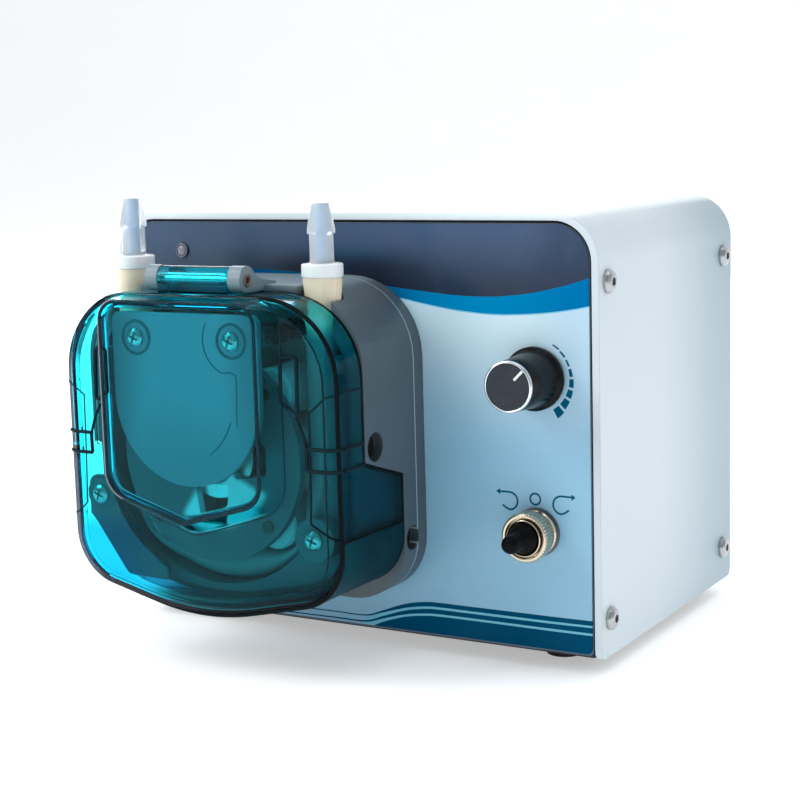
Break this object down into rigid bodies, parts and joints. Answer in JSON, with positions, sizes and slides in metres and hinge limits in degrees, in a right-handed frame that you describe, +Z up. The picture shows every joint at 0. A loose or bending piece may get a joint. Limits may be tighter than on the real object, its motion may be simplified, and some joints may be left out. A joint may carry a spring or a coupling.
{
  "type": "peristaltic pump",
  "caption": "Bench peristaltic pump: white sheet metal drive unit with speed knob and direction toggle, and a roller pump head under a transparent teal flip cover.",
  "frame": {"origin": "centre of the object's bounding box in plan, on the surface the rubber feet stand on", "axes": "+Z up, +X to the right along the front panel as seen from the front, -Y out of the front, so the pump head faces -Y"},
  "size_m": [0.1878, 0.181, 0.1514],
  "materials": {
    "white_paint": "smooth satin powder coat",
    "black_paint": "satin black",
    "panel_sheet": "plain sheet",
    "overlay_film": "printed glossy film",
    "stainless_screw": "plain stainless",
    "foot_rubber": "matt",
    "bezel_metal": "nickel plated",
    "lens_plastic": "unlit diffused lens",
    "plated_steel": "zinc plated",
    "champagne_nickel": "warm nickel plate, knurled",
    "black_plastic": "fine texture",
    "contact_brass": "plain",
    "motor_black": "black enamel",
    "board_green": "solder mask",
    "terminal_green": "moulded",
    "capacitor_sleeve": "shrink sleeve",
    "heat_sink_aluminium": "extruded",
    "grey_plastic": "satin moulded",
    "dark_grey_plastic": "satin moulded",
    "tube_elastomer": "soft elastomer",
    "barb_plastic": "translucent natural plastic",
    "teal_clear_plastic": "clear teal polycarbonate",
    "rotor_aluminium": "turned",
    "roller_plastic": "acetal",
    "knob_black": "polished black",
    "knob_chrome": "polished",
    "pointer_white": "printed white",
    "boot_rubber": "silicone"
  },
  "bodies": {
    "housing": {"housing_shell": "white_paint", "chassis_frame": "black_paint", "front_panel": "panel_sheet", "front_overlay": "overlay_film", "rear_panel": "white_paint", "side_screws": "stainless_screw", "rear_screws": "stainless_screw", "rubber_feet": "foot_rubber", "foot_screws": "stainless_screw", "led_bezel": "bezel_metal", "led_lens": "lens_plastic", "potentiometer": "plated_steel", "pot_nut": "plated_steel", "toggle_body": "black_plastic", "toggle_bushing": "champagne_nickel", "toggle_washer": "bezel_metal", "toggle_nut": "champagne_nickel", "power_inlet": "black_plastic", "inlet_pins": "contact_brass", "inlet_screws": "stainless_screw", "rocker_frame": "black_plastic", "fuse_holder": "black_plastic", "drive_motor": "motor_black", "power_supply": "plated_steel", "control_board": "board_green", "board_standoffs": "contact_brass", "driver_heat_sink": "heat_sink_aluminium", "terminal_blocks": "terminal_green", "board_capacitors": "capacitor_sleeve", "head_base": "grey_plastic", "head_screws": "stainless_screw", "shaft_bearing": "plated_steel", "occlusion_track": "dark_grey_plastic", "track_screws": "stainless_screw", "guard_plate": "grey_plastic", "guard_standoffs": "plated_steel", "guard_screws": "stainless_screw", "pump_tube": "tube_elastomer", "barb_fitting_left": "barb_plastic", "barb_fitting_right": "barb_plastic", "hinge_pin": "contact_brass"},
    "cover": {"head_cover": "teal_clear_plastic"},
    "rotor": {"drive_shaft": "plated_steel", "rotor_front_disc": "dark_grey_plastic", "rotor_rear_disc": "rotor_aluminium", "rotor_hub": "rotor_aluminium", "roller_pins": "plated_steel", "rotor_screw": "stainless_screw"},
    "roller_a": {"roller_1": "roller_plastic"},
    "roller_b": {"roller_2": "roller_plastic"},
    "roller_c": {"roller_3": "roller_plastic"},
    "roller_d": {"roller_4": "roller_plastic"},
    "speed_knob": {"knob_body": "knob_black", "knob_ring": "knob_chrome", "knob_pointer": "pointer_white", "knob_shaft": "plated_steel"},
    "direction_toggle": {"toggle_lever": "plated_steel", "toggle_boot": "boot_rubber"},
    "rocker": {"power_rocker": "black_plastic"}
  },
  "joints": [
    {"name": "cover_hinge", "type": "hinge", "parent": "housing", "child": "cover", "pos_m": [-0.02385, -0.0763, 0.1267], "axis": [-1, 0, 0], "range_deg": [0, 110]},
    {"name": "rotor_spin", "type": "hinge", "parent": "housing", "child": "rotor", "pos_m": [-0.02385, -0.0615, 0.07], "axis": [0, -1, 0], "continuous": true, "deforming": ["pump_tube"]},
    {"name": "roller_a_spin", "type": "hinge", "parent": "rotor", "child": "roller_a", "pos_m": [-0.00278, -0.0615, 0.04893], "axis": [0, -1, 0], "continuous": true},
    {"name": "roller_b_spin", "type": "hinge", "parent": "rotor", "child": "roller_b", "pos_m": [-0.04492, -0.0615, 0.04893], "axis": [0, -1, 0], "continuous": true},
    {"name": "roller_c_spin", "type": "hinge", "parent": "rotor", "child": "roller_c", "pos_m": [-0.04492, -0.0615, 0.09107], "axis": [0, -1, 0], "continuous": true},
    {"name": "roller_d_spin", "type": "hinge", "parent": "rotor", "child": "roller_d", "pos_m": [-0.00278, -0.0615, 0.09107], "axis": [0, -1, 0], "continuous": true},
    {"name": "knob_turn", "type": "hinge", "parent": "housing", "child": "speed_knob", "pos_m": [0.07005, -0.0405, 0.0937], "axis": [0, 1, 0], "range_deg": [-190, 110]},
    {"name": "toggle_tilt", "type": "hinge", "parent": "housing", "child": "direction_toggle", "pos_m": [0.0695, -0.0385, 0.0446], "axis": [0, 0, 1], "range_deg": [-12, 12]},
    {"name": "rocker_tilt", "type": "hinge", "parent": "housing", "child": "rocker", "pos_m": [-0.005, 0.0825, 0.039], "axis": [-1, 0, 0], "range_deg": [0, 14]}
  ],
  "couplings": [
    {"joint": "roller_a_spin", "follows": "rotor_spin", "ratio": -4.725},
    {"joint": "roller_b_spin", "follows": "rotor_spin", "ratio": -4.725},
    {"joint": "roller_c_spin", "follows": "rotor_spin", "ratio": -4.725},
    {"joint": "roller_d_spin", "follows": "rotor_spin", "ratio": -4.725}
  ]
}
